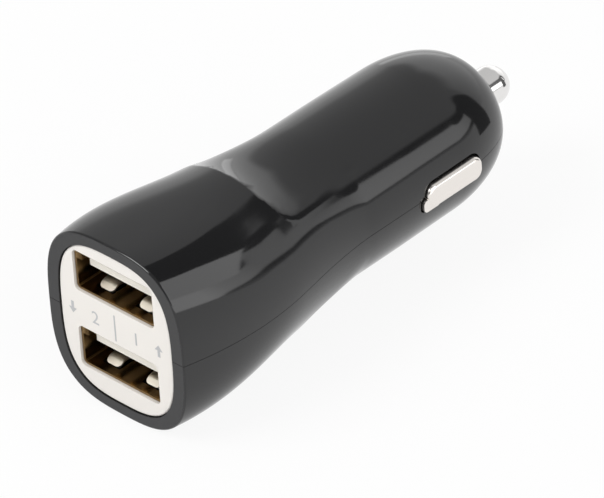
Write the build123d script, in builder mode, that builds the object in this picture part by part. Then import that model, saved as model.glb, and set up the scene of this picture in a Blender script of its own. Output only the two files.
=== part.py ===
"""Car charger plug with two stacked power ports, a waisted two-piece housing and sprung contacts.

Millimetres. +Y runs along the plug to its tip, +Z is up and the ports face -Y. The origin is on the
plug's axis, in the middle of the plain round band that guides the plug into its socket. Stations are
distances from the front rim.
"""
import math
import os

from build123d import *

os.makedirs("parts", exist_ok=True)

# Ports: the standard opening, folded from sheet
port_width = 12.5
port_height = 5.12
port_corner = 0.35
port_sheet = 0.3
port_pitch = 11.2
port_rise = 0.6
port_depth = 14.0
port_setback = 0.35
port_clearance = 0.1
leg_width = 1.6
leg_stick_out = 0.6

# Spring fingers cut out of each port's floor and roof
finger_width = 2.3
finger_spacing = 6.6
finger_tip = 1.6
finger_crest = 2.7
finger_root = 8.0
floor_press = 0.5
roof_press = 0.25
finger_bend = 1.2
finger_slot = 0.3
finger_round = 0.6

# Port insulators and their terminals
tongue_width = 11.1
tongue_thick = 1.84
tongue_drop = 0.7
tongue_setback = 1.2
tongue_chamfer = 0.3
block_length = 3.4
block_clearance = 0.05
terminal_width = 1.0
terminal_thick = 0.3
terminal_setback = 1.2
terminal_places = (-3.5, -1.0, 1.0, 3.5)

# Front panel, recessed in the rim
panel_side = 2.86
panel_end = 2.52
panel_power = 3.08
panel_thick = 1.2
panel_recess = 0.15
panel_clearance = 0.08
panel_edge = 0.25

# Housing: its sections turn from a soft square into a circle, with a scoop behind the crease
rim_side = 1.87
rim_end = 1.56
rim_power = 3.0
rim_round = 0.3
head_length = 20.0
head_widest = 12.0
head_bulge = 1.7
crease_drop = 0.66
crease_power = 2.0
scoop_slope = -0.52
scoop_spread = 1.0
scoop_fade = 5.0
scoop_soft = 0.3
height_trend = 1.25
waist_length = 14.0
barrel_diameter = 20.8
band_length = 7.0
barrel_length = 16.5
barrel_draft = 0.1
nose_length = 11.3
nose_flat = 9.0
wall = 1.2
bulkhead = 1.2
seam = 0.06
lip_height = 0.8
lip_clearance = 0.06
lip_start = 2.0

# Boards
board_thick = 1.2
board_clearance = 0.08
board_margin = 1.0
port_board_width = 17.0
port_board_corner = 4.5
port_board_margin = 0.9
board_tab_width = 2.0
board_tab_place = 5.0
board_end_gap = 1.7
cradle_width = 5.0
cradle_depth = 0.6
cradle_wall = 1.0
rib_thick = 1.2
rib_grip = 1.1
rib_height = 6.0
rib_stations = (3.0, 12.0)

# Side contacts, pressed from strip and rolled into an eye at the front
contact_before_nose = 2.9
pad_length = 10.4
pad_width = 3.2
pad_corner = 1.3
pad_proud = 0.6
pad_round = 0.5
heel_reach = 0.8
heel_width = 1.7
heel_drop = 0.2
heel_round = 0.6
contact_sheet = 0.5
strip_width = 4.4
strip_gap = 0.55
strip_tail = 1.1
eye_radius = 1.2
eye_ahead = 2.8
eye_clearance = 0.08
post_radius = 1.3
post_end_gap = 0.15
post_meeting_gap = 0.1
window_clearance = 0.3
window_lead = 0.15
press_angle = 9.0
swing_gap = 0.3

# Tip contact, its spring and the terminal that feeds them
tip_diameter = 5.1
tip_reach = 6.6
tip_clearance = 0.08
flange_lip = 1.25
flange_thick = 1.2
nose_stop = 1.8
spigot_radius = 1.8
spigot_length = 1.5
spring_room = 6.2
spring_wire = 0.55
spring_turns = 4.5
spring_gap = 0.1
spring_bore_gap = 0.7
boss_wall = 1.2
terminal_sheet = 0.4
feed_width = 2.0
feed_lap = 3.0

# Converter parts on the main board
part_gap = 0.03
chip_behind_crease = 13.0
chip_width = 3.9
chip_length = 4.9
chip_height = 1.45
chip_leads = 4
chip_lead_pitch = 1.27
chip_lead_width = 0.42
chip_lead_sheet = 0.2
chip_lead_reach = 1.05
choke_behind_crease = 4.5
choke_radius = 4.0
choke_height = 5.6
choke_flange = 1.0
choke_neck = 2.0
winding_gap = 0.05
winding_inset = 0.3
diode_place = 5.6
diode_ahead = 1.0
diode_length = 4.4
diode_width = 2.6
diode_height = 2.1
diode_tab = 0.3
input_can_radius = 3.15
input_can_length = 9.5
output_can_radius = 2.5
output_can_length = 9.0
output_can_gap = 3.6
can_groove = 0.25
can_groove_place = 1.8
can_round = 0.4
lead_wire = 0.5
resistors_behind_crease = 13.5
resistor_length = 1.6
resistor_width = 0.8
resistor_height = 0.5
resistor_pitch = 2.0

# Sizes that follow
port_outer_width = port_width + 2 * port_sheet
port_outer_height = port_height + 2 * port_sheet
port_rises = {"upper": port_rise + port_pitch / 2, "lower": port_rise - port_pitch / 2}
panel_width = port_outer_width + 2 * panel_side
panel_height = port_pitch + port_outer_height + 2 * panel_end
rim_width = panel_width + 2 * rim_side
rim_height = panel_height + 2 * rim_end
barrel_radius = barrel_diameter / 2
nose_radius = barrel_radius - barrel_draft

# Stations from the front rim
port_front = panel_recess + port_setback
port_back = port_front + port_depth
bulkhead_front = panel_recess + panel_thick
cavity_front = bulkhead_front + bulkhead
board_front = port_back + board_thick
barrel_front = head_length + waist_length
nose_front = barrel_front + barrel_length
body_end = nose_front + nose_length
flange_stop = body_end - nose_stop
flange_back = flange_stop - flange_thick
terminal_face = flange_back - spring_room
web_back = terminal_face - terminal_sheet
boss_front = web_back - boss_wall
board_end = boss_front - board_end_gap
pad_middle = nose_front - contact_before_nose
pad_front = pad_middle - pad_length / 2
eye_station = pad_front - eye_ahead
band_middle = barrel_front + band_length / 2

# Places on the main board
board_top = board_thick / 2 + part_gap
converter_station = head_length + chip_behind_crease
diode_station = converter_station - diode_ahead
choke_station = head_length + choke_behind_crease
resistor_station = head_length + resistors_behind_crease
input_can_station = converter_station + chip_length / 2 + can_round + part_gap
output_can_station = board_front + output_can_gap

# Radii that follow at the tip
tip_radius = tip_diameter / 2
flange_radius = tip_radius + flange_lip
boss_bore = flange_radius + tip_clearance
boss_radius = boss_bore + boss_wall

# Places of the side contacts, from the barrel's inner wall
cavity_radius = barrel_radius - wall
strip_face = math.sqrt(cavity_radius**2 - (strip_width / 2) ** 2) - strip_gap
eye_place = strip_face - eye_radius
strip_end = pad_middle + pad_length / 2 + strip_tail
tail_swing = (strip_end - eye_station) * math.sin(math.radians(press_angle))
board_neck = 2 * (eye_place + eye_radius - contact_sheet - tail_swing - board_clearance - swing_gap)
board_shoulder = eye_station - eye_radius - board_margin


def along(station):
    """The Y of a station."""
    return station - band_middle


def across(station):
    """The section plane at a station: local x is +X, local y is +Z, the normal points to the front."""
    return Plane.XZ.offset(-along(station))


def reach(half_width, half_height, power, turn):
    """Distance from the axis to a superellipse, at an angle from +X."""
    across_part = abs(math.cos(turn)) / half_width
    upright_part = abs(math.sin(turn)) / half_height
    return (across_part**power + upright_part**power) ** (-1 / power)


def outline(distance):
    """A closed smooth outline; distance gives its reach from the axis at each angle."""
    count = 24
    points = []
    for i in range(count):
        turn = 2 * math.pi * i / count
        points.append((distance(turn) * math.cos(turn), distance(turn) * math.sin(turn)))
    with BuildSketch(Plane.XY) as face:
        with BuildLine():
            Spline(*points, periodic=True)
        make_face()
    return face.sketch


def head_section(station):
    """Half-width, half-height and power of the head, which bows out and falls a little to the crease."""
    bow = 1 - (1 - station / head_widest) ** 2
    share = station / head_length
    half_width = rim_width / 2 + head_bulge * bow
    half_height = rim_height / 2 - crease_drop * share**height_trend
    power = rim_power + (crease_power - rim_power) * (3 * share**2 - 2 * share**3)
    return half_width, half_height, power


def ease(share, start, end, slope):
    """A smooth change over the waist that leaves start at a slope and arrives level at end."""
    leave = 2 * share**3 - 3 * share**2 + 1
    pull = share**3 - 2 * share**2 + share
    return leave * start + pull * slope * waist_length + (1 - leave) * end


def waist_width(station):
    """Half-width of the waist, which carries on from the head's sides."""
    share = (station - head_length) / waist_length
    side_slope = 2 * head_bulge * (1 - head_length / head_widest) / head_widest
    return ease(share, head_section(head_length)[0], barrel_radius, side_slope)


def head_reach(station, turn):
    """Distance of the head's surface from the axis."""
    return reach(*head_section(station), turn)


def waist_reach(station, turn):
    """Distance of the waist's surface: the head's hull, scooped out at the top and bottom."""
    behind = station - head_length
    share = behind / waist_length
    half_width = waist_width(station)
    crest = head_section(head_length)[1]
    hull_height = crest - crease_drop * height_trend * behind / head_length
    scoop_height = ease(share, crest, barrel_radius, scoop_slope)
    fade = max(0, behind - scoop_fade) / (waist_length - scoop_fade)
    spread = scoop_spread * (2 * fade**3 - 3 * fade**2 + 1)
    hull = reach(half_width, hull_height, 2, turn)
    scoop = reach(half_width + spread, scoop_height, 2, turn)
    soft = 4 * scoop_soft * share * (1 - share)
    overlap = max(0, soft - abs(hull - scoop))
    return min(hull, scoop) - (overlap**2 / (4 * soft) if soft > 0 else 0)


def body(inset, start):
    """The housing's form, drawn in by an inset, from a start station to the nose."""
    head_steps = 5
    waist_steps = 10
    with BuildPart() as form:
        for i in range(head_steps + 1):
            station = start + (head_length - start) * i / head_steps
            with BuildSketch(across(station)):
                add(outline(lambda turn: head_reach(station, turn) - inset))
        loft()
        for i in range(waist_steps):
            station = head_length + waist_length * i / waist_steps
            with BuildSketch(across(station)):
                add(outline(lambda turn: waist_reach(station, turn) - inset))
        with BuildSketch(across(barrel_front)):
            Circle(barrel_radius - inset)
        loft()
        with BuildSketch(Plane.XY):
            with BuildLine():
                curve = EllipticalCenterArc(
                    (nose_flat / 2, along(nose_front)),
                    nose_radius - inset - nose_flat / 2,
                    nose_length - inset,
                    arc_size=90,
                )
                Polyline(
                    curve @ 1,
                    (0, along(body_end) - inset),
                    (0, along(barrel_front)),
                    (barrel_radius - inset, along(barrel_front)),
                    (barrel_radius - inset, along(barrel_front + band_length)),
                    curve @ 0,
                )
            make_face()
        revolve(axis=Axis.Y)
    return form.part


def slab(low, high):
    """A flat block between two heights, wider than the housing."""
    size = 4 * body_end
    with BuildPart() as block:
        with BuildSketch(Plane.XY.offset(low)):
            Rectangle(size, size)
        extrude(amount=high - low)
    return block.part


def seam_half_width(station):
    """Half-width of the housing anywhere ahead of the nose."""
    if station < head_length:
        return head_section(station)[0]
    if station < barrel_front:
        return waist_width(station)
    drafted = max(0, station - barrel_front - band_length)
    return barrel_radius - barrel_draft * drafted / (barrel_length - band_length)


def seam_face(inset, start):
    """The housing's outline in the seam's plane, drawn in by an inset."""
    steps = 20
    side = []
    for i in range(steps + 1):
        station = start + (nose_front - start) * i / steps
        side.append((seam_half_width(station) - inset, along(station)))
    with BuildSketch(Plane.XY) as outline:
        with BuildLine():
            Spline(*side)
            curve = EllipticalCenterArc(
                (nose_flat / 2, along(nose_front)),
                nose_radius - inset - nose_flat / 2,
                nose_length - inset,
                arc_size=90,
            )
            Polyline(curve @ 1, (0, along(body_end) - inset), (0, along(start)), side[0])
        make_face()
        mirror(about=Plane.YZ)
    return outline.sketch


def lip_ring(outer_inset, inner_inset, low, high):
    """The strip of wall between two insets, near the seam, open at the front."""
    with BuildPart() as ring:
        with BuildSketch(Plane.XY.offset(low)):
            add(seam_face(outer_inset, cavity_front + lip_start))
            add(seam_face(inner_inset, cavity_front), mode=Mode.SUBTRACT)
        extrude(amount=high - low)
    return ring.part


with BuildPart() as outer_form:
    add(body(0, 0))
    fillet(outer_form.faces().sort_by(Axis.Y)[0].edges(), rim_round)
cavity_form = body(wall, cavity_front)
rib_limit = body(wall / 2, bulkhead_front)
port_board_half_height = head_section(port_back)[1] - wall - port_board_margin
board_half_width = barrel_radius - wall - board_margin


def inner_ribs(side):
    """Posts, ribs and cradle inside one half, side +1 above the seam and -1 below."""
    with BuildPart() as ribs:
        # Ribs that clamp the main board's edges
        for station in rib_stations:
            for hand in (1, -1):
                with Locations((
                    hand * (board_half_width - rib_grip + rib_height / 2),
                    along(head_length + station),
                    side * (board_thick / 2 + board_clearance + rib_height / 2),
                )):
                    Box(rib_height, rib_thick, rib_height)
        # Posts on which the side contacts' eyes turn
        for hand in (1, -1):
            with Locations((hand * eye_place, along(eye_station), side * (strip_width / 2 + post_end_gap))):
                Cylinder(post_radius, rib_height, align=(Align.CENTER, Align.CENTER, end_align(side)))
        # Cradle for the port board's edge
        cradle_low = port_board_half_height - cradle_depth
        cradle_long = board_thick + 2 * board_clearance + 2 * cradle_wall
        with Locations((0, along(port_back + board_thick / 2), side * (cradle_low + rib_height / 2))):
            Box(cradle_width, cradle_long, rib_height)
        with Locations((0, along(port_back + board_thick / 2), side * port_board_half_height)):
            Box(
                cradle_width,
                board_thick + 2 * board_clearance,
                2 * (cradle_depth + board_clearance),
                mode=Mode.SUBTRACT,
            )
        add(rib_limit, mode=Mode.INTERSECT)
        # The posts' pins, slim enough for the eyes
        for hand in (1, -1):
            with Locations((hand * eye_place, along(eye_station), side * post_meeting_gap / 2)):
                Cylinder(
                    eye_radius - contact_sheet - eye_clearance,
                    strip_width / 2 + 2 * post_end_gap,
                    align=(Align.CENTER, Align.CENTER, end_align(side)),
                )
    return ribs.part


def end_align(side):
    """Grow upwards for the upper half and downwards for the lower."""
    return Align.MIN if side > 0 else Align.MAX


def tip_boss():
    """The tube that guides the tip's flange and spring, with a web at its front."""
    with BuildPart() as boss:
        with BuildSketch(across(boss_front)):
            Circle(boss_radius)
        extrude(amount=-(body_end - boss_front))
        add(rib_limit, mode=Mode.INTERSECT)
    return boss.part


def tip_bores():
    """The flange's bore, the tip's hole and the slot for the feed strip."""
    with BuildPart() as bores:
        with BuildSketch(across(web_back)):
            Circle(boss_bore)
        extrude(amount=-(flange_stop - web_back))
        with BuildSketch(across(flange_stop)):
            Circle(tip_radius + tip_clearance)
        extrude(amount=-2 * nose_stop)
        with Locations((0, along(web_back), board_thick / 2 + terminal_sheet / 2 + part_gap)):
            Box(
                feed_width + 2 * board_clearance,
                3 * boss_wall,
                terminal_sheet + 2 * board_clearance,
            )
    return bores.part


def housing_half(side):
    """One half of the housing, side +1 above the seam and -1 below."""
    with BuildPart() as half:
        add(outer_form.part)
        add(cavity_form, mode=Mode.SUBTRACT)
        add(tip_boss())
        low, high = sorted((side * seam / 2, side * 2 * rim_height))
        add(slab(low, high), mode=Mode.INTERSECT)
        add(inner_ribs(side))
        # Lap joint along the seam: a lip on the upper half in a rebate of the lower
        middle = wall / 2
        if side > 0:
            add(lip_ring(middle + lip_clearance, wall - lip_clearance, -lip_height, wall))
        else:
            add(
                lip_ring(middle, wall + 3 * lip_clearance, -lip_height - lip_clearance, wall),
                mode=Mode.SUBTRACT,
            )
        # Pocket for the front panel, and the bulkhead's two port openings
        with BuildSketch(across(0)):
            add(outline(lambda turn: reach(panel_width / 2, panel_height / 2, panel_power, turn)))
        extrude(amount=-bulkhead_front, mode=Mode.SUBTRACT)
        with BuildSketch(across(bulkhead_front)):
            for rise in port_rises.values():
                with Locations((0, rise)):
                    Rectangle(port_outer_width + 4 * port_clearance, port_outer_height + 4 * port_clearance)
        extrude(amount=-2 * bulkhead, mode=Mode.SUBTRACT)
        # Windows for the side contacts, which follow their pads and heels
        for hand in (1, -1):
            with BuildSketch(Plane.YZ.offset(hand * eye_place)):
                with Locations((along(pad_front + heel_reach) - window_lead, 0)):
                    RectangleRounded(
                        pad_length - heel_reach + window_lead + window_clearance,
                        pad_width + 2 * window_clearance,
                        pad_corner + window_clearance,
                        align=(Align.MIN, Align.CENTER),
                    )
                with Locations((along(pad_front) - window_lead, -pad_width / 2 - window_clearance)):
                    RectangleRounded(
                        2 * heel_reach + pad_corner + window_lead,
                        heel_width + 2 * window_clearance,
                        heel_round + window_lead,
                        align=(Align.MIN, Align.MIN),
                    )
            extrude(amount=hand * barrel_radius, mode=Mode.SUBTRACT)
        add(tip_bores(), mode=Mode.SUBTRACT)
    return half.part


def spring_finger(place, rise, face):
    """A finger bent into the port from its floor, face -1, or its roof, face +1, round at its tip."""
    middle = rise + face * (port_height + port_sheet) / 2
    press = roof_press if face > 0 else floor_press
    with BuildPart() as finger:
        with BuildSketch(Plane.YZ.offset(place)):
            with BuildLine():
                FilletPolyline(
                    (along(port_front + finger_tip), middle),
                    (along(port_front + finger_crest), middle - face * (press + port_sheet / 2)),
                    (along(port_front + finger_root - finger_slot), middle),
                    (along(port_front + finger_root + finger_slot), middle),
                    radius=finger_bend,
                )
            trace(line_width=port_sheet)
        extrude(amount=finger_width / 2, both=True)
        tip = finger.faces().sort_by(Axis.Y)[0]
        fillet(tip.edges().sort_by(SortBy.LENGTH)[:2], finger_round)
    return finger.part


def port_shell(rise):
    """A folded sheet shell with spring fingers in its floor and roof and two legs into the port board."""
    with BuildPart() as shell:
        with BuildSketch(across(port_front)):
            with Locations((0, rise)):
                RectangleRounded(port_outer_width, port_outer_height, port_corner + port_sheet)
                RectangleRounded(port_width, port_height, port_corner, mode=Mode.SUBTRACT)
        extrude(amount=-port_depth)
        slot_front = finger_tip - finger_slot
        for face in (1, -1):
            for hand in (1, -1):
                place = hand * finger_spacing / 2
                with Locations((
                    place,
                    along(port_front + (slot_front + finger_root) / 2),
                    rise + face * (port_height + port_sheet) / 2,
                )):
                    Box(
                        finger_width + 2 * finger_slot,
                        finger_root - slot_front,
                        2 * port_sheet,
                        mode=Mode.SUBTRACT,
                    )
                add(spring_finger(place, rise, face))
        for hand in (1, -1):
            with Locations((
                hand * (port_width + port_sheet) / 2,
                along(port_back + (board_thick + leg_stick_out) / 2),
                rise,
            )):
                Box(port_sheet, board_thick + leg_stick_out, leg_width)
    return shell.part


def tongue_floor(rise):
    """Height of the tongue's underside."""
    return rise + port_height / 2 - tongue_drop - tongue_thick


def port_tongue(rise):
    """The insulator: a tongue that carries the terminals, on a block that fills the shell's back."""
    length = port_depth - tongue_setback
    with BuildPart() as tongue:
        with BuildSketch(across(port_front + tongue_setback)):
            with Locations((0, tongue_floor(rise) + tongue_thick / 2)):
                Rectangle(tongue_width, tongue_thick)
        extrude(amount=-length)
        chamfer(tongue.faces().sort_by(Axis.Y)[0].edges(), tongue_chamfer)
        with BuildSketch(across(port_back - block_length)):
            with Locations((0, rise)):
                RectangleRounded(
                    port_width - 2 * block_clearance, port_height - 2 * block_clearance, port_corner
                )
        extrude(amount=-block_length)
        for place in terminal_places:
            with Locations((
                place,
                along(port_front + tongue_setback + terminal_setback - port_clearance),
                tongue_floor(rise) - port_clearance,
            )):
                Box(
                    terminal_width + 2 * block_clearance,
                    port_depth,
                    terminal_thick + port_clearance + block_clearance,
                    align=(Align.CENTER, Align.MIN, Align.MIN),
                    mode=Mode.SUBTRACT,
                )
    return tongue.part


def port_terminals(rise):
    """The strips under the tongue, which run back through the port board."""
    front = port_front + tongue_setback + terminal_setback
    with BuildPart() as strips:
        for place in terminal_places:
            with Locations((place, along(front), tongue_floor(rise) - block_clearance)):
                Box(
                    terminal_width,
                    board_front + leg_stick_out - front,
                    terminal_thick,
                    align=(Align.CENTER, Align.MIN, Align.MIN),
                )
        front_edges = strips.edges().filter_by(Axis.X).group_by(Axis.Y)[0]
        chamfer(front_edges.group_by(Axis.Z)[0], terminal_thick / 2)
    return strips.part


def side_contact(hand):
    """A strip with a drawn pad that stands out of the barrel and an eye rolled round its post."""
    pad_height = barrel_radius + pad_proud - strip_face
    with BuildPart() as contact:
        with BuildSketch(Plane.YZ.offset(hand * strip_face)):
            with Locations((along(eye_station), 0)):
                Rectangle(strip_end - eye_station, strip_width, align=(Align.MIN, Align.CENTER))
        extrude(amount=-hand * contact_sheet)
        fillet(contact.edges().filter_by(Axis.X).group_by(Axis.Y)[-1], pad_corner)
        with BuildSketch(Plane.YZ.offset(hand * strip_face)):
            with Locations((along(pad_middle) + heel_reach / 2, 0)):
                RectangleRounded(pad_length - heel_reach, pad_width, pad_corner)
        extrude(amount=hand * pad_height)
        crown = contact.faces().sort_by(Axis.X)[-1 if hand > 0 else 0]
        fillet(crown.edges(), pad_round)
        # A lower heel leads the pad on its lower side
        with BuildSketch(Plane.YZ.offset(hand * strip_face)):
            with Locations((along(pad_front), -pad_width / 2)):
                RectangleRounded(
                    2 * heel_reach + pad_corner, heel_width, heel_round, align=(Align.MIN, Align.MIN)
                )
        extrude(amount=hand * (pad_height - heel_drop))
        with BuildSketch(Plane.YZ.offset(hand * (strip_face - contact_sheet))):
            with Locations((along(pad_middle) + heel_reach / 2, 0)):
                RectangleRounded(
                    pad_length - heel_reach - 2 * contact_sheet,
                    pad_width - 2 * contact_sheet,
                    pad_corner - contact_sheet,
                )
        extrude(amount=hand * pad_height, mode=Mode.SUBTRACT)
        with Locations((hand * eye_place, along(eye_station), 0)):
            Cylinder(eye_radius, strip_width)
            Cylinder(eye_radius - contact_sheet, strip_width, mode=Mode.SUBTRACT)
    return contact.part


def can_capacitor(radius, length, station, side):
    """A can lying along the board, rolled in near its seal, with two leads bent down to the board."""
    middle = side * (board_top + radius)
    with BuildPart() as can:
        with BuildSketch(Plane.XY.offset(middle)):
            with BuildLine():
                low = along(station)
                groove = low + length - can_groove_place
                rolled = RadiusArc(
                    (radius, groove + can_groove), (radius, groove - can_groove), -can_groove
                )
                Polyline(
                    rolled @ 1,
                    (radius, low),
                    (0, low),
                    (0, low + length),
                    (radius, low + length),
                    rolled @ 0,
                )
            make_face()
        revolve(axis=Axis((0, 0, middle), (0, 1, 0)))
        ends = can.edges().filter_by(GeomType.CIRCLE).group_by(Axis.Y)
        fillet([ends[0][0], ends[-1][0]], can_round)
        for hand in (1, -1):
            place = hand * radius / 2
            turn = low + length + 2 * lead_wire
            with BuildLine() as wire:
                FilletPolyline(
                    (place, low + length - lead_wire, middle),
                    (place, turn, middle),
                    (place, turn, side * board_top),
                    radius=lead_wire,
                )
            with BuildSketch(Plane(wire.line @ 0, z_dir=wire.line % 0)):
                Circle(lead_wire / 2)
            sweep()
    return can.part


# The two halves of the housing
for name, side in (("upper_shell", 1), ("lower_shell", -1)):
    shell = housing_half(side)
    shell.label = name
    export_step(shell, f"parts/{name}.step")

# Each port's shell, tongue and terminals
for level, rise in port_rises.items():
    pieces = {
        "port_shell": port_shell(rise),
        "port_tongue": port_tongue(rise),
        "port_terminals": port_terminals(rise),
    }
    for kind, piece in pieces.items():
        piece.label = f"{level}_{kind}"
        export_step(piece, f"parts/{level}_{kind}.step")

# The side contacts
for name, hand in (("right_ground_contact", 1), ("left_ground_contact", -1)):
    contact = side_contact(hand)
    contact.label = name
    export_step(contact, f"parts/{name}.step")

# Input capacitor on top of the main board and output capacitor under it
cans = {
    "input_capacitor": can_capacitor(input_can_radius, input_can_length, input_can_station, 1),
    "output_capacitor": can_capacitor(output_can_radius, output_can_length, output_can_station, -1),
}
for name, can in cans.items():
    can.label = name
    export_step(can, f"parts/{name}.step")

# Front panel: the plate in the rim, with an opening for each port
with BuildPart() as front_panel:
    with BuildSketch(across(panel_recess)):
        half_width = panel_width / 2 - panel_clearance
        half_height = panel_height / 2 - panel_clearance
        add(outline(lambda turn: reach(half_width, half_height, panel_power, turn)))
    extrude(amount=-panel_thick)
    fillet(front_panel.faces().sort_by(Axis.Y)[0].edges(), panel_edge)
    with BuildSketch(across(panel_recess)):
        for rise in port_rises.values():
            with Locations((0, rise)):
                RectangleRounded(
                    port_outer_width + 2 * port_clearance,
                    port_outer_height + 2 * port_clearance,
                    port_corner + port_sheet + port_clearance,
                )
    extrude(amount=-panel_thick, mode=Mode.SUBTRACT)
front_panel.part.label = "front_panel"
export_step(front_panel.part, "parts/front_panel.step")

# Port board: upright behind the ports, slotted for their legs, terminals and the main board
with BuildPart() as port_board:
    with BuildSketch(across(port_back)):
        RectangleRounded(port_board_width, 2 * port_board_half_height, port_board_corner)
        for rise in port_rises.values():
            for hand in (1, -1):
                with Locations((hand * (port_width + port_sheet) / 2, rise)):
                    Rectangle(
                        port_sheet + 2 * board_clearance,
                        leg_width + 2 * board_clearance,
                        mode=Mode.SUBTRACT,
                    )
            for place in terminal_places:
                with Locations((place, tongue_floor(rise) - block_clearance + terminal_thick / 2)):
                    Rectangle(
                        terminal_width + 2 * board_clearance,
                        terminal_thick + 2 * board_clearance,
                        mode=Mode.SUBTRACT,
                    )
        for hand in (1, -1):
            with Locations((hand * board_tab_place, 0)):
                Rectangle(
                    board_tab_width + 2 * board_clearance,
                    board_thick + 2 * board_clearance,
                    mode=Mode.SUBTRACT,
                )
    extrude(amount=-board_thick)
port_board.part.label = "port_board"
export_step(port_board.part, "parts/port_board.step")

# Main board: in the seam's plane, wide in the waist and narrow between the side contacts
main_board_front = along(board_front) + board_clearance
with BuildPart() as main_board:
    with BuildSketch(Plane.XY.offset(-board_thick / 2)):
        with Locations((0, main_board_front)):
            Rectangle(
                2 * board_half_width,
                along(board_shoulder) - main_board_front,
                align=(Align.CENTER, Align.MIN),
            )
            Rectangle(board_neck, along(board_end) - main_board_front, align=(Align.CENTER, Align.MIN))
        for hand in (1, -1):
            with Locations((hand * board_tab_place, main_board_front)):
                Rectangle(board_tab_width, board_thick, align=(Align.CENTER, Align.MAX))
    extrude(amount=board_thick)
main_board.part.label = "main_board"
export_step(main_board.part, "parts/main_board.step")

# Tip contact: turned, with a flange inside the nose and a spigot for its spring
with BuildPart() as tip_contact:
    with BuildSketch(Plane.XY):
        with BuildLine():
            tip_end = along(body_end + tip_reach)
            dome = CenterArc((0, tip_end - tip_radius), tip_radius, 0, 90)
            Polyline(
                dome @ 1,
                (0, along(flange_back - spigot_length)),
                (spigot_radius, along(flange_back - spigot_length)),
                (spigot_radius, along(flange_back)),
                (flange_radius, along(flange_back)),
                (flange_radius, along(flange_stop)),
                (tip_radius, along(flange_stop)),
                dome @ 0,
            )
        make_face()
    revolve(axis=Axis.Y)
tip_contact.part.label = "tip_contact"
export_step(tip_contact.part, "parts/tip_contact.step")

# Tip spring: the coil between the terminal and the tip's flange
spring_length = spring_room - 2 * spring_gap - spring_wire
coil_radius = boss_bore - spring_bore_gap - spring_wire / 2
spring_start = along(terminal_face) + spring_gap + spring_wire / 2
with BuildPart() as tip_spring:
    with BuildLine() as coil:
        Helix(
            spring_length / spring_turns,
            spring_length,
            coil_radius,
            center=(0, spring_start, 0),
            direction=(0, 1, 0),
        )
    with BuildSketch(Plane(coil.line @ 0, z_dir=coil.line % 0)):
        Circle(spring_wire / 2)
    sweep()
tip_spring.part.label = "tip_spring"
export_step(tip_spring.part, "parts/tip_spring.step")

# Tip terminal: a disc under the spring, with a strip that runs onto the main board
with BuildPart() as tip_terminal:
    with BuildSketch(across(web_back)):
        Circle(flange_radius)
    extrude(amount=-terminal_sheet)
    with Locations((0, along(board_end - feed_lap), board_top)):
        Box(
            feed_width,
            web_back - board_end + feed_lap + terminal_sheet,
            terminal_sheet,
            align=(Align.CENTER, Align.MIN, Align.MIN),
        )
tip_terminal.part.label = "tip_terminal"
export_step(tip_terminal.part, "parts/tip_terminal.step")

# Converter chip: the moulded body of the step-down converter
with BuildPart() as converter_chip:
    with Locations((0, along(converter_station), board_top + chip_lead_sheet)):
        Box(chip_width, chip_length, chip_height, align=(Align.CENTER, Align.CENTER, Align.MIN))
    chamfer(converter_chip.faces().sort_by(Axis.Z)[-1].edges(), chip_lead_sheet)
converter_chip.part.label = "converter_chip"
export_step(converter_chip.part, "parts/converter_chip.step")

# Converter leads: gull wings, four on each side of the chip
lead_knee = board_top + chip_lead_sheet + chip_height / 2
chip_side = chip_width / 2
with BuildPart() as converter_leads:
    for hand in (1, -1):
        for i in range(chip_leads):
            place = along(converter_station) + (i - (chip_leads - 1) / 2) * chip_lead_pitch
            with BuildSketch(Plane.XZ.offset(-place)):
                with BuildLine():
                    Polyline(
                        (hand * chip_side, lead_knee),
                        (hand * (chip_side + chip_lead_reach / 2), lead_knee),
                        (hand * (chip_side + chip_lead_reach / 2), board_top + chip_lead_sheet / 2),
                        (hand * (chip_side + chip_lead_reach), board_top + chip_lead_sheet / 2),
                    )
                trace(line_width=chip_lead_sheet)
            extrude(amount=chip_lead_width / 2, both=True)
converter_leads.part.label = "converter_leads"
export_step(converter_leads.part, "parts/converter_leads.step")

# Choke core: a ferrite drum standing on the board
with BuildPart() as choke_core:
    with Locations((0, along(choke_station), board_top)):
        Cylinder(choke_radius, choke_height, align=(Align.CENTER, Align.CENTER, Align.MIN))
    with Locations((0, along(choke_station), board_top + choke_flange)):
        Cylinder(
            choke_radius,
            choke_height - 2 * choke_flange,
            align=(Align.CENTER, Align.CENTER, Align.MIN),
            mode=Mode.SUBTRACT,
        )
        Cylinder(
            choke_neck,
            choke_height - 2 * choke_flange,
            align=(Align.CENTER, Align.CENTER, Align.MIN),
        )
choke_core.part.label = "choke_core"
export_step(choke_core.part, "parts/choke_core.step")

# Choke winding: the wire round the drum's neck, as one ring
with BuildPart() as choke_winding:
    with Locations((0, along(choke_station), board_top + choke_flange + winding_gap)):
        winding_height = choke_height - 2 * choke_flange - 2 * winding_gap
        Cylinder(
            choke_radius - winding_inset, winding_height, align=(Align.CENTER, Align.CENTER, Align.MIN)
        )
        Cylinder(
            choke_neck + winding_gap,
            winding_height,
            align=(Align.CENTER, Align.CENTER, Align.MIN),
            mode=Mode.SUBTRACT,
        )
choke_winding.part.label = "choke_winding"
export_step(choke_winding.part, "parts/choke_winding.step")

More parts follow.
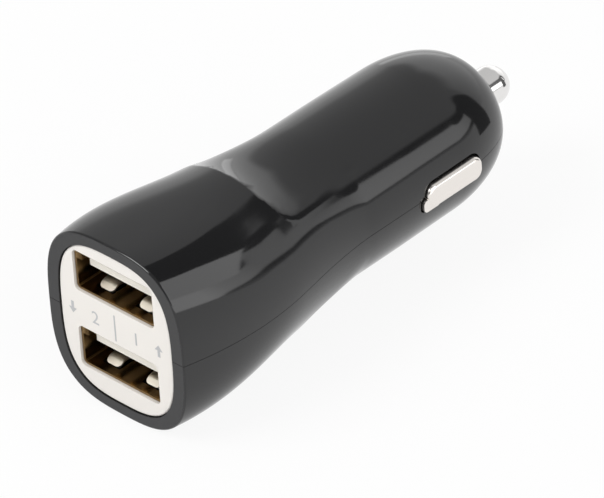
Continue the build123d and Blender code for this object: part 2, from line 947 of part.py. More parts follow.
# Rectifier diode: a moulded block with a folded tab under each end
with BuildPart() as rectifier_diode:
    with Locations((diode_place, along(diode_station), board_top + diode_tab)):
        Box(
            diode_width,
            diode_length,
            diode_height - diode_tab,
            align=(Align.CENTER, Align.CENTER, Align.MIN),
        )
    chamfer(rectifier_diode.faces().sort_by(Axis.Z)[-1].edges(), diode_tab)
    for hand in (1, -1):
        with Locations((
            diode_place,
            along(diode_station) + hand * (diode_length / 2 - diode_tab),
            board_top,
        )):
            Box(
                diode_width / 2,
                4 * diode_tab,
                diode_tab,
                align=(Align.CENTER, Align.CENTER, Align.MIN),
            )
rectifier_diode.part.label = "rectifier_diode"
export_step(rectifier_diode.part, "parts/rectifier_diode.step")

# Chip resistors: two short rows of small resistors under the board
with BuildPart() as chip_resistors:
    with Locations((0, along(resistor_station), -board_top)):
        with GridLocations(2 * resistor_pitch, resistor_pitch, 2, 3):
            Box(
                resistor_length,
                resistor_width,
                resistor_height,
                align=(Align.CENTER, Align.CENTER, Align.MAX),
            )
chip_resistors.part.label = "chip_resistors"
export_step(chip_resistors.part, "parts/chip_resistors.step")
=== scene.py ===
"""Studio picture of the car charger plug: finishes, print on the panel, soft light and a white floor."""
import math

import bpy
import numpy as np
from mathutils import Matrix, Vector


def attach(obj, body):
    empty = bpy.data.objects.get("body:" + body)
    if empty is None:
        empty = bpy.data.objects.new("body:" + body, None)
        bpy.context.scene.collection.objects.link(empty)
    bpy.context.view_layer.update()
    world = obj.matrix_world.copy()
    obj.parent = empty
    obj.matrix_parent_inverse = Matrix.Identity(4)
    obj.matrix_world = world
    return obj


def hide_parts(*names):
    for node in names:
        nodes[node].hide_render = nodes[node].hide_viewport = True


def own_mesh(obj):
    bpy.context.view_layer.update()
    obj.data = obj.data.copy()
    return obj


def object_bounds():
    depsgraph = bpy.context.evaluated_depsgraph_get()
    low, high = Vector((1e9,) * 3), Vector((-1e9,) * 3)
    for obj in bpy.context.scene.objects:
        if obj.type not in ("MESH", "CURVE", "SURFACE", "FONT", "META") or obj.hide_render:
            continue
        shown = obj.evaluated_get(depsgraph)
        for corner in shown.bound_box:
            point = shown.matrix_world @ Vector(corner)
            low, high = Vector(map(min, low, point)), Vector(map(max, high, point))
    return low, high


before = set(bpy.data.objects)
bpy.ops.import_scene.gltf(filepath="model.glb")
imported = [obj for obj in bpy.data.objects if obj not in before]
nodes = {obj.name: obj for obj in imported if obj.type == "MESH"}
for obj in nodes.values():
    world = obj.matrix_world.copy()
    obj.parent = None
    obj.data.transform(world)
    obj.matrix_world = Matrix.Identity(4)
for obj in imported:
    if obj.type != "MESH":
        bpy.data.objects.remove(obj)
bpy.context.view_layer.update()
scene = bpy.context.scene

MM = 0.001
AXIS = np.array([0.0, 1.0, 0.0])
# Keeps a divisor away from zero
TINY = 1e-9

# The housing's form in millimetres, by stations from the front rim; the frame's origin is at BAND_MIDDLE
BAND_MIDDLE, BAND_LENGTH = 37.5, 7.0
RIM_HALF_WIDTH, RIM_HALF_HEIGHT, RIM_ROUND = 11.28, 12.54, 0.3
RIM_POWER, CREASE_POWER = 3.0, 2.0
HEIGHT_TREND = 1.25
HEAD_LENGTH, HEAD_WIDEST, HEAD_BULGE = 20.0, 12.0, 1.7
CREASE_DROP, WAIST_LENGTH, BARREL_RADIUS = 0.66, 14.0, 10.4
SCOOP_SLOPE, SCOOP_SPREAD, SCOOP_FADE, SCOOP_SOFT = -0.52, 1.0, 5.0, 0.3
NOSE_FRONT, NOSE_RADIUS, NOSE_LENGTH, NOSE_FLAT = 50.5, 10.3, 11.3, 4.5
# The nose's slope has no limit at its end, so its formula stops at this share of its length
NOSE_LAST = 0.9999

# The panel, the tip, the ports and the spring fingers in the ports' floors, in millimetres
PANEL_RECESS = 0.15
PORT_RISE, PORT_PITCH, PORT_FLOOR_DROP = 0.6, 11.2, 2.7
FINGER_PLACE, FINGER_HALF, FINGER_TIP, FINGER_ROOT = 3.3, 1.17, 1.9, 6.0

# The step over which a slope is taken, in millimetres along the axis and radians around it
SLOPE_STEP = 1e-3
# What tells the housing's skin, rounded edge and flat front apart: millimetres, and cosines between normals
SKIN_TOLERANCE, SKIN_AGREEMENT = 0.2, 0.6
EDGE_DEPTH, EDGE_LEAST_LEAN, EDGE_MOST_LEAN = 0.4, 0.02, 0.98
FRONT_DEPTH, FRONT_LEAN = 0.05, 0.9


def fall(share):
    """Falls smoothly from 1 to 0 as a share goes from 0 to 1."""
    return 2 * share**3 - 3 * share**2 + 1


def superellipse(half_width, half_height, power, turn):
    """Distance from the axis to a superellipse, at an angle from +X."""
    c = np.maximum(np.abs(np.cos(turn)), TINY)
    s = np.maximum(np.abs(np.sin(turn)), TINY)
    return ((c / half_width) ** power + (s / half_height) ** power) ** (-1 / power)


def head_half_width(d):
    """Half of the head's width at a station."""
    return RIM_HALF_WIDTH + HEAD_BULGE * (1 - (1 - d / HEAD_WIDEST) ** 2)


def head_reach(d, turn):
    """Distance of the head's surface from the axis at a station, worked out as far as the waist's end."""
    d = np.minimum(d, HEAD_LENGTH + WAIST_LENGTH)
    share = np.clip(d / HEAD_LENGTH, 0, None)
    half_height = RIM_HALF_HEIGHT - CREASE_DROP * share**HEIGHT_TREND
    power = CREASE_POWER + (RIM_POWER - CREASE_POWER) * fall(share)
    return superellipse(head_half_width(d), half_height, power, turn)


def waist_reach(d, turn):
    """The same for the waist: the head's hull, scooped out at the top and bottom."""
    behind = d - HEAD_LENGTH
    v = behind / WAIST_LENGTH
    leave = fall(v)
    pull = (v**3 - 2 * v**2 + v) * WAIST_LENGTH
    side_slope = 2 * HEAD_BULGE * (1 - HEAD_LENGTH / HEAD_WIDEST) / HEAD_WIDEST
    crest = RIM_HALF_HEIGHT - CREASE_DROP
    half_width = leave * head_half_width(HEAD_LENGTH) + pull * side_slope + (1 - leave) * BARREL_RADIUS
    hull_height = crest - CREASE_DROP * HEIGHT_TREND * behind / HEAD_LENGTH
    scoop_height = leave * crest + pull * SCOOP_SLOPE + (1 - leave) * BARREL_RADIUS
    fade = np.clip((behind - SCOOP_FADE) / (WAIST_LENGTH - SCOOP_FADE), 0, 1)
    hull = superellipse(half_width, hull_height, CREASE_POWER, turn)
    scoop = superellipse(half_width + SCOOP_SPREAD * fall(fade), scoop_height, CREASE_POWER, turn)
    soft = np.maximum(4 * SCOOP_SOFT * v * (1 - v), TINY)
    overlap = np.maximum(soft - np.abs(hull - scoop), 0)
    return np.minimum(hull, scoop) - overlap**2 / (4 * soft)


def barrel_radius(d):
    """Radius of the barrel and the nose."""
    draft = np.interp(d, [BAND_MIDDLE + BAND_LENGTH / 2, NOSE_FRONT], [BARREL_RADIUS, NOSE_RADIUS])
    share = np.clip((d - NOSE_FRONT) / NOSE_LENGTH, 0, NOSE_LAST)
    nose = NOSE_FLAT + (NOSE_RADIUS - NOSE_FLAT) * np.sqrt(1 - share**2)
    return np.where(d < NOSE_FRONT, draft, nose)


def reach(d, turn, part):
    """Distance of the outer surface from the axis; part is 0 on the head, 1 on the waist and 2 behind it."""
    return np.choose(part, [head_reach(d, turn), waist_reach(d, turn), barrel_radius(d)])


def form_normals(d, turn, rho, part):
    """Normals of the outer surface, from its slopes around the axis and along it."""
    slope_turn = (reach(d, turn + SLOPE_STEP, part) - reach(d, turn - SLOPE_STEP, part)) / (2 * SLOPE_STEP)
    slope_d = (reach(d + SLOPE_STEP, turn, part) - reach(d - SLOPE_STEP, turn, part)) / (2 * SLOPE_STEP)
    outward = np.stack([np.cos(turn), 0 * turn, np.sin(turn)], 1)
    sideways = np.stack([-np.sin(turn), 0 * turn, np.cos(turn)], 1)
    normals = outward - sideways * (slope_turn / np.maximum(rho, TINY))[:, None] - AXIS * slope_d[:, None]
    return normals / np.linalg.norm(normals, axis=1)[:, None]


def whole(items, name):
    """A whole number of each item of a mesh."""
    values = np.zeros(len(items), int)
    items.foreach_get(name, values)
    return values


def vectors(items, name):
    """A vector of each item of a mesh."""
    values = np.zeros(len(items) * 3)
    items.foreach_get(name, values)
    return values.reshape(-1, 3)


def polish(mesh):
    """Gives the corners on the housing's outer surface the form's own normals, so that gloss has no facets.

    Returns each face's station, and how far it looks to the front, from -1 to 1.
    """
    normal = vectors(mesh.polygons, "normal")
    station = vectors(mesh.polygons, "center")[:, 1] / MM + BAND_MIDDLE
    total = whole(mesh.polygons, "loop_total")
    faces = len(total)
    owner = np.repeat(np.arange(faces), total)
    point = (vectors(mesh.vertices, "co") / MM)[whole(mesh.loops, "vertex_index")]
    part = np.where(station < HEAD_LENGTH, 0, np.where(station < HEAD_LENGTH + WAIST_LENGTH, 1, 2))[owner]
    d = point[:, 1] + BAND_MIDDLE
    turn = np.arctan2(point[:, 2], point[:, 0])
    rho = np.hypot(point[:, 0], point[:, 2])
    sunk = reach(d, turn, part) - rho
    want = form_normals(d, turn, rho, part)
    flat = normal[owner]
    agrees = (want * flat).sum(1) > SKIN_AGREEMENT
    fits = (np.abs(sunk) < SKIN_TOLERANCE) & agrees
    skin = np.bincount(owner, fits.astype(float), faces) == total
    chosen = np.where(skin[owner][:, None], want, flat)
    # The rounded edge of the rim turns from the skin's normal to the front
    lean = -normal[:, 1]
    rounded = (station < RIM_ROUND) & (lean > EDGE_LEAST_LEAN) & (lean < EDGE_MOST_LEAN)
    on_edge = rounded[owner] & (sunk < EDGE_DEPTH)
    forward = np.clip(1 - d / RIM_ROUND, 0, 1)[:, None]
    turned = want * np.sqrt(1 - forward**2) - AXIS * forward
    chosen = np.where(on_edge[:, None], turned, chosen)
    mesh.polygons.foreach_set("use_smooth", np.ones(faces, bool))
    mesh.normals_split_custom_set(chosen.tolist())
    return station, lean


GRAIN_DETAIL, GRAIN_DEPTH = 3.0, 0.02 * MM


def material(name, colour, rough, metal=0.0, ior=1.45):
    """A plain finish with its constants on the shader's own sockets."""
    mat = bpy.data.materials.new(name)
    mat.use_nodes = True
    shader = mat.node_tree.nodes["Principled BSDF"]
    shader.inputs["Base Color"].default_value = (*colour, 1.0)
    shader.inputs["Roughness"].default_value = rough
    shader.inputs["Metallic"].default_value = metal
    shader.inputs["IOR"].default_value = ior
    return mat


def grain(mat, scale, low, high, bump=0.0):
    """Fine uneven roughness and, where asked, a fine grain on the surface."""
    tree = mat.node_tree
    shader = tree.nodes["Principled BSDF"]
    place = tree.nodes.new("ShaderNodeTexCoord")
    noise = tree.nodes.new("ShaderNodeTexNoise")
    noise.inputs["Scale"].default_value = scale
    noise.inputs["Detail"].default_value = GRAIN_DETAIL
    tree.links.new(place.outputs["Object"], noise.inputs["Vector"])
    spread = tree.nodes.new("ShaderNodeMapRange")
    spread.inputs["To Min"].default_value = low
    spread.inputs["To Max"].default_value = high
    tree.links.new(noise.outputs["Fac"], spread.inputs["Value"])
    tree.links.new(spread.outputs["Result"], shader.inputs["Roughness"])
    if bump:
        relief = tree.nodes.new("ShaderNodeBump")
        relief.inputs["Strength"].default_value = bump
        relief.inputs["Distance"].default_value = GRAIN_DEPTH
        tree.links.new(noise.outputs["Fac"], relief.inputs["Height"])
        tree.links.new(relief.outputs["Normal"], shader.inputs["Normal"])
    return mat


GLOSS_BLACK = grain(material("gloss_black", (0.006, 0.006, 0.0065), 0.1, ior=1.55), 260, 0.06, 0.11)
RIM_BLACK = grain(material("rim_black", (0.03, 0.03, 0.031), 0.5, ior=1.42), 1500, 0.45, 0.55, 0.25)
WARM_WHITE = grain(material("warm_white", (0.78, 0.75, 0.71), 0.5), 1800, 0.42, 0.58, 0.1)
# Gold for the port shells, darkened well below plain gold: partly their own gold, partly painted shade for
# the ports' insides
PORT_GOLD_AND_SHADE = grain(material("port_gold_and_painted_shade", (0.27, 0.18, 0.085), 0.16, metal=1.0), 900, 0.12, 0.2)
# Pale metal for the spring fingers: a lit copy of the port shells' metal, a painted highlight
FINGER_PAINTED_HIGHLIGHT = grain(material("finger_painted_highlight", (0.86, 0.82, 0.72), 0.3, metal=1.0), 900, 0.25, 0.36)
CREAM = grain(material("cream", (0.8, 0.77, 0.7), 0.45), 1500, 0.4, 0.52, 0.1)
CONTACT_GOLD = grain(material("contact_gold", (0.78, 0.58, 0.28), 0.25, metal=1.0), 900, 0.2, 0.3)
BOARD_GREEN = grain(material("board_green", (0.015, 0.12, 0.05), 0.35), 2200, 0.28, 0.42, 0.2)
MOULDED = grain(material("moulded_black", (0.012, 0.012, 0.012), 0.55), 2500, 0.48, 0.64, 0.3)
TINNED = grain(material("tinned", (0.68, 0.68, 0.69), 0.3, metal=1.0), 1600, 0.22, 0.4)
FERRITE = grain(material("ferrite", (0.05, 0.05, 0.055), 0.6), 2500, 0.52, 0.7, 0.3)
COPPER = grain(material("copper", (0.62, 0.26, 0.12), 0.3, metal=1.0), 1200, 0.24, 0.36)
CAN = grain(material("can_sleeve", (0.05, 0.06, 0.11), 0.3), 800, 0.25, 0.36)
NICKEL = grain(material("nickel", (0.84, 0.8, 0.76), 0.22, metal=1.0), 700, 0.18, 0.3)
CHROME = grain(material("chrome", (0.8, 0.79, 0.78), 0.08, metal=1.0), 700, 0.06, 0.1)
SPRING = grain(material("spring_steel", (0.5, 0.5, 0.51), 0.3, metal=1.0), 1200, 0.25, 0.36)
PRINT_GREY = grain(material("print_grey", (0.46, 0.46, 0.47), 0.55), 1500, 0.5, 0.6)

HALVES = ("upper_shell", "lower_shell")
FINISHES = {
    "upper_shell": GLOSS_BLACK,
    "lower_shell": GLOSS_BLACK,
    "front_panel": WARM_WHITE,
    # The port shells' darkened gold holds painted shade for the ports' insides
    "upper_port_shell": PORT_GOLD_AND_SHADE,
    "lower_port_shell": PORT_GOLD_AND_SHADE,
    "upper_port_tongue": CREAM,
    "lower_port_tongue": CREAM,
    "upper_port_terminals": CONTACT_GOLD,
    "lower_port_terminals": CONTACT_GOLD,
    "port_board": BOARD_GREEN,
    "main_board": BOARD_GREEN,
    "converter_chip": MOULDED,
    "converter_leads": TINNED,
    "rectifier_diode": MOULDED,
    "choke_core": FERRITE,
    "choke_winding": COPPER,
    "input_capacitor": CAN,
    "output_capacitor": CAN,
    "chip_resistors": MOULDED,
    "right_ground_contact": NICKEL,
    "left_ground_contact": NICKEL,
    "tip_contact": CHROME,
    "tip_spring": SPRING,
    "tip_terminal": CONTACT_GOLD,
}
for name, finish in FINISHES.items():
    mesh = nodes[name].data
    mesh.materials.clear()
    mesh.materials.append(finish)
    mesh.polygons.foreach_set("material_index", np.zeros(len(mesh.polygons), int))
    if name not in HALVES:
        mesh.polygons.foreach_set("use_smooth", np.ones(len(mesh.polygons), bool))

# The housing's skin is polished and its flat front rim is matt
for name in HALVES:
    mesh = nodes[name].data
    mesh.materials.append(RIM_BLACK)
    station, lean = polish(mesh)
    rim = (station < FRONT_DEPTH) & (lean > FRONT_LEAN)
    mesh.polygons.foreach_set("material_index", rim.astype(int))

# The spring fingers in the ports' floors get a paler copy of the shells' metal: a painted highlight for the
# light they catch
PORT_HEIGHTS = {
    "upper_port_shell": PORT_RISE + PORT_PITCH / 2,
    "lower_port_shell": PORT_RISE - PORT_PITCH / 2,
}
for name, port_height in PORT_HEIGHTS.items():
    mesh = nodes[name].data
    mesh.materials.append(FINGER_PAINTED_HIGHLIGHT)
    centre = vectors(mesh.polygons, "center") / MM
    beside = np.abs(np.abs(centre[:, 0]) - FINGER_PLACE) < FINGER_HALF
    depth = centre[:, 1] + BAND_MIDDLE
    over_floor = (centre[:, 2] > port_height - PORT_FLOOR_DROP) & (centre[:, 2] < port_height)
    finger = beside & over_floor & (depth > FINGER_TIP) & (depth < FINGER_ROOT)
    mesh.polygons.foreach_set("material_index", finger.astype(int))

# The print on the panel, in millimetres seen from the front
FILM_HALF, FILM_STANDOFF = 0.006, 0.008
PRINT_X, PRINT_Z = -0.2, 0.3
DIVIDER_HALF_WIDTH, DIVIDER_HALF_HEIGHT = 0.12, 1.9
NUMBER_LEFT, NUMBER_RIGHT, NUMBER_DROP, NUMBER_SIZE = 3.3, 3.5, 0.1, 2.6
ARROW_LEFT, ARROW_RIGHT = 7.1, 7.3
SHAFT_HALF, BARB_HALF, ARROW_TAIL, ARROW_NECK, ARROW_POINT = 0.22, 0.65, -0.85, 0.1, 0.9


def as_film(name, curve):
    """Turns a flat curve into a thin film that lies on the panel and rides with the housing."""
    curve.extrude = FILM_HALF * MM
    pattern = bpy.data.objects.new(name + "_curve", curve)
    scene.collection.objects.link(pattern)
    bpy.context.view_layer.update()
    graph = bpy.context.evaluated_depsgraph_get()
    mesh = bpy.data.meshes.new_from_object(pattern.evaluated_get(graph))
    bpy.data.objects.remove(pattern)
    face = Matrix.Translation((0, (PANEL_RECESS - BAND_MIDDLE - FILM_STANDOFF) * MM, 0))
    mesh.transform(face @ Matrix.Rotation(math.pi / 2, 4, "X"))
    mesh.name = name
    film = bpy.data.objects.new(name, mesh)
    scene.collection.objects.link(film)
    mesh.materials.clear()
    mesh.materials.append(PRINT_GREY)
    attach(film, "housing")
    return film


def flat_print(name, outline):
    """A printed shape from the (x, z) points of its outline."""
    curve = bpy.data.curves.new(name, "CURVE")
    curve.dimensions = "2D"
    curve.fill_mode = "BOTH"
    spline = curve.splines.new("POLY")
    spline.points.add(len(outline) - 1)
    for point, (x, z) in zip(spline.points, outline):
        point.co = (x * MM, z * MM, 0, 1)
    spline.use_cyclic_u = True
    as_film(name, curve)


def number(name, text, x):
    """A plain number."""
    curve = bpy.data.curves.new(name, "FONT")
    curve.body = text
    curve.size = NUMBER_SIZE * MM
    curve.align_x = "CENTER"
    curve.align_y = "CENTER"
    film = as_film(name, curve)
    film.data.transform(Matrix.Translation((x * MM, 0, (PRINT_Z - NUMBER_DROP) * MM)))


def arrow(name, x, way):
    """A small arrow that points to its port: up where way is 1, down where it is -1."""
    right_side = [(SHAFT_HALF, ARROW_TAIL), (SHAFT_HALF, ARROW_NECK), (BARB_HALF, ARROW_NECK)]
    left_side = [(-across, along) for across, along in reversed(right_side)]
    shape = right_side + [(0.0, ARROW_POINT)] + left_side
    flat_print(name, [(x + across, PRINT_Z + way * along) for across, along in shape])


flat_print("panel_divider", [
    (PRINT_X + across * DIVIDER_HALF_WIDTH, PRINT_Z + along * DIVIDER_HALF_HEIGHT)
    for across, along in ((-1, -1), (1, -1), (1, 1), (-1, 1))
])
number("panel_number_lower", "2", PRINT_X - NUMBER_LEFT)
number("panel_number_upper", "1", PRINT_X + NUMBER_RIGHT)
arrow("panel_arrow_lower", PRINT_X - ARROW_LEFT, -1)
arrow("panel_arrow_upper", PRINT_X + ARROW_RIGHT, 1)

# The tip's spring gets an object and mesh of its own that rides with the housing, in place of the imported
# one
spring = nodes["tip_spring"]
coil_mesh = spring.data.copy()
coil_mesh.transform(spring.matrix_world)
coil = bpy.data.objects.new("tip_spring_coil", coil_mesh)
scene.collection.objects.link(coil)
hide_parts("tip_spring")
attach(coil, "housing")
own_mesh(coil)

# Levels of light, where white is 1: backdrop, key light, light board, bright board, and what is dark
WHITE, KEY, NEAR, BRIGHT, DARK = 1.0, 6.5, 2.0, 1.5, 0.13


def joined(tree, operation, first, second):
    """Two values joined by an operation; the second may be a plain number."""
    node = tree.nodes.new("ShaderNodeMath")
    node.operation = operation
    tree.links.new(first, node.inputs[0])
    if isinstance(second, float):
        node.inputs[1].default_value = second
    else:
        tree.links.new(second, node.inputs[1])
    return node.outputs[0]


def even_glow(tree, kind, level):
    """A shader that shines with an even grey."""
    node = tree.nodes.new(kind)
    node.inputs["Color"].default_value = (level, level, level, 1)
    node.inputs["Strength"].default_value = 1.0
    return node.outputs[0]


def shader_mix(tree, below, above, share_above):
    """One shader laid over another."""
    node = tree.nodes.new("ShaderNodeMixShader")
    tree.links.new(share_above, node.inputs["Fac"])
    tree.links.new(below, node.inputs[1])
    tree.links.new(above, node.inputs[2])
    return node.outputs[0]


def end_tree(tree, kind, shader):
    """Leads a shader to the tree's output."""
    node = tree.nodes.new(kind)
    tree.links.new(shader, node.inputs["Surface"])


def empty_material(name):
    """A material with no nodes yet."""
    mat = bpy.data.materials.new(name)
    mat.use_nodes = True
    mat.node_tree.nodes.clear()
    return mat


# A white floor under the part, in metres: matt, and mostly plain white to the camera, gloss and clear pieces
FLOOR_SIZE, FLOOR_GAP = 6.0, 0.0002
FLOOR_GREY, FLOOR_PLAIN_SHARE = 0.82, 0.9
bpy.ops.mesh.primitive_plane_add(size=FLOOR_SIZE, location=(0, 0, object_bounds()[0].z - FLOOR_GAP))
floor = bpy.context.object
floor.name = "studio_floor"
floor_white = empty_material("studio_white")
tree = floor_white.node_tree
matt = tree.nodes.new("ShaderNodeBsdfDiffuse")
matt.inputs["Color"].default_value = (FLOOR_GREY, FLOOR_GREY, FLOOR_GREY, 1)
path = tree.nodes.new("ShaderNodeLightPath")
clear = joined(tree, "MAXIMUM", path.outputs["Is Glossy Ray"], path.outputs["Is Transmission Ray"])
seen = joined(tree, "MAXIMUM", path.outputs["Is Camera Ray"], clear)
plain_share = joined(tree, "MULTIPLY", seen, FLOOR_PLAIN_SHARE)
plain = even_glow(tree, "ShaderNodeEmission", WHITE)
end_tree(tree, "ShaderNodeOutputMaterial", shader_mix(tree, matt.outputs[0], plain, plain_share))
floor.data.materials.append(floor_white)


def ramp_place(bearing):
    """The place of a bearing along a ramp; bearings go from +Y towards +X, in degrees."""
    return (bearing + 180) / 360


def height(elevation):
    """The upright part of a direction at an elevation in degrees."""
    return math.sin(math.radians(elevation))


def edge(*places):
    """Heights around the part, from pairs of a bearing and an elevation."""
    return [(ramp_place(bearing), height(elevation)) for bearing, elevation in places]


def levels(*places):
    """Brightness around the part, from pairs of a bearing and a level."""
    return [(ramp_place(bearing), level) for bearing, level in places]


def ramp(tree, values, source, kind="LINEAR"):
    """Values along a source from 0 to 1; B_SPLINE rounds them off, and holds them under 1."""
    node = tree.nodes.new("ShaderNodeValToRGB")
    node.color_ramp.interpolation = kind
    elements = node.color_ramp.elements
    while len(elements) < len(values):
        elements.new(0.5)
    for element, (position, value) in zip(elements, values):
        element.position = position
        element.color = (value, value, value, 1)
    tree.links.new(source, node.inputs["Fac"])
    return node.outputs["Color"]


def soft_step(tree, upper, lower, soft):
    """1 where upper is above lower, 0 where it is below, with a soft edge."""
    step = tree.nodes.new("ShaderNodeMapRange")
    step.interpolation_type = "SMOOTHSTEP"
    step.inputs["From Min"].default_value = -soft
    step.inputs["From Max"].default_value = soft
    tree.links.new(joined(tree, "SUBTRACT", upper, lower), step.inputs["Value"])
    return step.outputs["Result"]


def colour_mix(tree, below, above, share_above):
    """One colour laid over another; the upper one may be a plain colour."""
    node = tree.nodes.new("ShaderNodeMix")
    node.data_type = "RGBA"
    inputs = {socket.identifier: socket for socket in node.inputs}
    tree.links.new(share_above, inputs["Factor_Float"])
    tree.links.new(below, inputs["A_Color"])
    if isinstance(above, tuple):
        inputs["B_Color"].default_value = above
    else:
        tree.links.new(above, inputs["B_Color"])
    return next(socket for socket in node.outputs if socket.identifier == "Result_Color")


# Soft surroundings: a white backdrop, and in front of it grey all round, a dark part straight behind, a pale
# screen low on the left and a window of light on the right. The camera and clear pieces see the backdrop
# alone, and gloss sees it low down, under a thin dark gap below the window
GREY_LEVEL = levels((-180, 0.35), (-60, 0.63), (40, 0.66), (120, 0.35))
DARK_TOP = edge(
    (15, 0), (18, 28), (21, 36), (26, 36.5), (31, 33), (36, 27), (44, 28.5), (50, 31), (56, 31), (64, 0),
)
PALE_TOP = edge(
    (-180, 8), (-62, 10), (-47, 18), (-38, 31), (-30, 38), (5, 39), (11, 38), (15, 32), (18, 24), (22, 0),
)
PALE_LEVEL = levels((-60, 0.8), (-47, 1.1), (-27, 1.3), (-13, 1.3), (-5, 1.2), (10, 1.0), (20, 0.8))
WINDOW_TOP = edge(
    (25, 0), (27, 25), (30, 30), (33, 27), (36.5, 19.5), (41, 17.5),
    (46, 18), (51, 18), (55, 58), (118, 58), (122, 0),
)
WINDOW_LEVEL = levels((27, 1.15), (38, 1.2), (46, 1.6), (55, 1.85), (65, 2.5))
SILL = edge((30, 10), (36, 9), (39, 8), (42, 6), (46, 4.5), (52, 3.5), (57, 3), (61, 0))
GAP = height(5)
DARK_SOFT, PALE_SOFT, EDGE_SOFT = 0.04, 0.08, 0.011

world = bpy.data.worlds.new("studio")
scene.world = world
world.use_nodes = True
tree = world.node_tree
tree.nodes.clear()
coord = tree.nodes.new("ShaderNodeTexCoord")
split = tree.nodes.new("ShaderNodeSeparateXYZ")
tree.links.new(coord.outputs["Generated"], split.inputs[0])
rise = split.outputs["Z"]
compass = tree.nodes.new("ShaderNodeMapRange")
compass.inputs["From Min"].default_value = -math.pi
compass.inputs["From Max"].default_value = math.pi
tree.links.new(joined(tree, "ARCTAN2", split.outputs["X"], split.outputs["Y"]), compass.inputs["Value"])
place = compass.outputs["Result"]
sill = ramp(tree, SILL, place, "B_SPLINE")
in_dark = soft_step(tree, ramp(tree, DARK_TOP, place, "B_SPLINE"), rise, DARK_SOFT)
on_screen = soft_step(tree, ramp(tree, PALE_TOP, place, "B_SPLINE"), rise, PALE_SOFT)
under_top = soft_step(tree, ramp(tree, WINDOW_TOP, place, "B_SPLINE"), rise, EDGE_SOFT)
in_window = joined(tree, "MULTIPLY", under_top, soft_step(tree, rise, sill, EDGE_SOFT))
shaded = colour_mix(tree, ramp(tree, GREY_LEVEL, place), (DARK, DARK, DARK, 1), in_dark)
paled = colour_mix(tree, shaded, ramp(tree, PALE_LEVEL, place), on_screen)
lit = colour_mix(tree, paled, ramp(tree, WINDOW_LEVEL, place), in_window)
around = tree.nodes.new("ShaderNodeBackground")
around.inputs["Strength"].default_value = 1.0
tree.links.new(lit, around.inputs["Color"])
backdrop = even_glow(tree, "ShaderNodeBackground", WHITE)
path = tree.nodes.new("ShaderNodeLightPath")
under_gap = soft_step(tree, sill, joined(tree, "ADD", rise, GAP), EDGE_SOFT)
in_gloss = joined(tree, "MULTIPLY", path.outputs["Is Glossy Ray"], under_gap)
clear = joined(tree, "MAXIMUM", path.outputs["Is Transmission Ray"], in_gloss)
seen = joined(tree, "MAXIMUM", path.outputs["Is Camera Ray"], clear)
end_tree(tree, "ShaderNodeOutputWorld", shader_mix(tree, around.outputs[0], backdrop, seen))

# A square key light in front on the left; its distance and size are in metres
KEY_BEARING, KEY_ELEVATION = math.radians(204.4), math.radians(44.8)
KEY_DISTANCE, KEY_SIZE = 0.85, 0.45
way = Vector((
    math.sin(KEY_BEARING) * math.cos(KEY_ELEVATION),
    math.cos(KEY_BEARING) * math.cos(KEY_ELEVATION),
    math.sin(KEY_ELEVATION),
))
lamp = bpy.data.lights.new("key_light", "AREA")
lamp.shape = "RECTANGLE"
lamp.size = KEY_SIZE
lamp.size_y = KEY_SIZE
lamp.energy = KEY * math.pi * KEY_SIZE * KEY_SIZE
key_light = bpy.data.objects.new("key_light", lamp)
key_light.location = way * KEY_DISTANCE
key_light.rotation_mode = "QUATERNION"
key_light.rotation_quaternion = (-way).to_track_quat("-Z", "Y")
key_light.visible_camera = False
scene.collection.objects.link(key_light)

# Boards around the part that only its gloss sees, in millimetres
BOARD_HEIGHT = 40.0


def board(name, corners, level):
    """A flat board that shines with an even grey; its corners are (x, station, height)."""
    mesh = bpy.data.meshes.new(name)
    points = [(x * MM, (d - BAND_MIDDLE) * MM, z * MM) for x, d, z in corners]
    mesh.from_pydata(points, [], [range(len(points))])
    obj = bpy.data.objects.new(name, mesh)
    scene.collection.objects.link(obj)
    mat = empty_material(name)
    shine = even_glow(mat.node_tree, "ShaderNodeEmission", level)
    end_tree(mat.node_tree, "ShaderNodeOutputMaterial", shine)
    mesh.materials.append(mat)
    obj.visible_camera = False
    obj.visible_diffuse = False
    obj.visible_shadow = False


def overhead(places):
    """Corners of a board that lies over the part."""
    return [(x, d, BOARD_HEIGHT) for x, d in places]


def upright(start, end, low, high):
    """Corners of a board that stands on the line between two places."""
    return [(*start, low), (*end, low), (*end, high), (*start, high)]


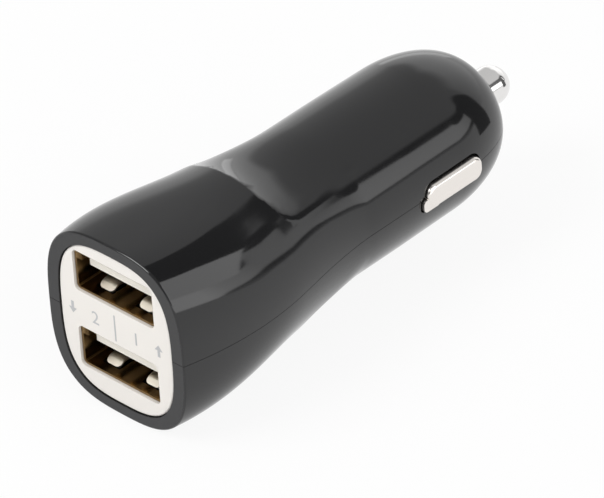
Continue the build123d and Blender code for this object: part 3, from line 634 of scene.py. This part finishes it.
# A dark board over the head and a light one on its right, a dark one behind the nose, and a low bright one
# far behind the left side
DARK_LEFT = [(0, 12), (0, 40), (2, 45), (7, 49), (13, 51), (19, 54.5), (25, 58.5), (31, 61)]
SHARED_EDGE = [(32.5, 61), (28, 45), (25, 30), (24.5, 6)]
LIGHT_RIGHT = [(90, 6), (90, 93), (60, 75), (45, 66)]
NOSE_BOARD = upright((27, 108), (50, 108), -10, 45)
BRIGHT_BOARD = upright((-216, 207), (-112, 240), -12.6, 25)
board("dark_board", overhead(DARK_LEFT + SHARED_EDGE), DARK)
board("light_board", overhead(SHARED_EDGE + LIGHT_RIGHT), NEAR)
board("nose_board", NOSE_BOARD, DARK)
board("bright_board", BRIGHT_BOARD, BRIGHT)

# The photograph's camera: distance, shifts and station in millimetres, focal length and width in pixels
AZIMUTH, ELEVATION, ROLL = math.radians(45.966), math.radians(35.733), math.radians(-4.087)
DISTANCE, SHIFT_RIGHT, SHIFT_UP = 1000.0, 1.543, -3.842
AIM_STATION = 30.0
FOCAL_PIXELS, PICTURE_WIDTH = 8262.14, 604
# Blender's own values: the sensor in millimetres, and the clipping distances in metres
SENSOR_WIDTH, CLIP_START, CLIP_END = 36.0, 0.05, 20.0
back = Vector((
    math.sin(AZIMUTH) * math.cos(ELEVATION),
    -math.cos(AZIMUTH) * math.cos(ELEVATION),
    math.sin(ELEVATION),
))
level = Vector((math.cos(AZIMUTH), math.sin(AZIMUTH), 0))
above = back.cross(level)
right = math.cos(ROLL) * level + math.sin(ROLL) * above
up = -math.sin(ROLL) * level + math.cos(ROLL) * above
aim = Vector((0, AIM_STATION - BAND_MIDDLE, 0)) + SHIFT_RIGHT * right + SHIFT_UP * up
eye = (aim + back * DISTANCE) * MM
camera = bpy.data.objects.new("camera", bpy.data.cameras.new("camera"))
scene.collection.objects.link(camera)
camera.data.sensor_fit = "HORIZONTAL"
camera.data.sensor_width = SENSOR_WIDTH
camera.data.lens = FOCAL_PIXELS * SENSOR_WIDTH / PICTURE_WIDTH
camera.data.clip_start = CLIP_START
camera.data.clip_end = CLIP_END
camera.matrix_world = Matrix((
    (right.x, up.x, back.x, eye.x),
    (right.y, up.y, back.y, eye.y),
    (right.z, up.z, back.z, eye.z),
    (0, 0, 0, 1),
))
scene.camera = camera

scene.view_settings.view_transform = "Standard"
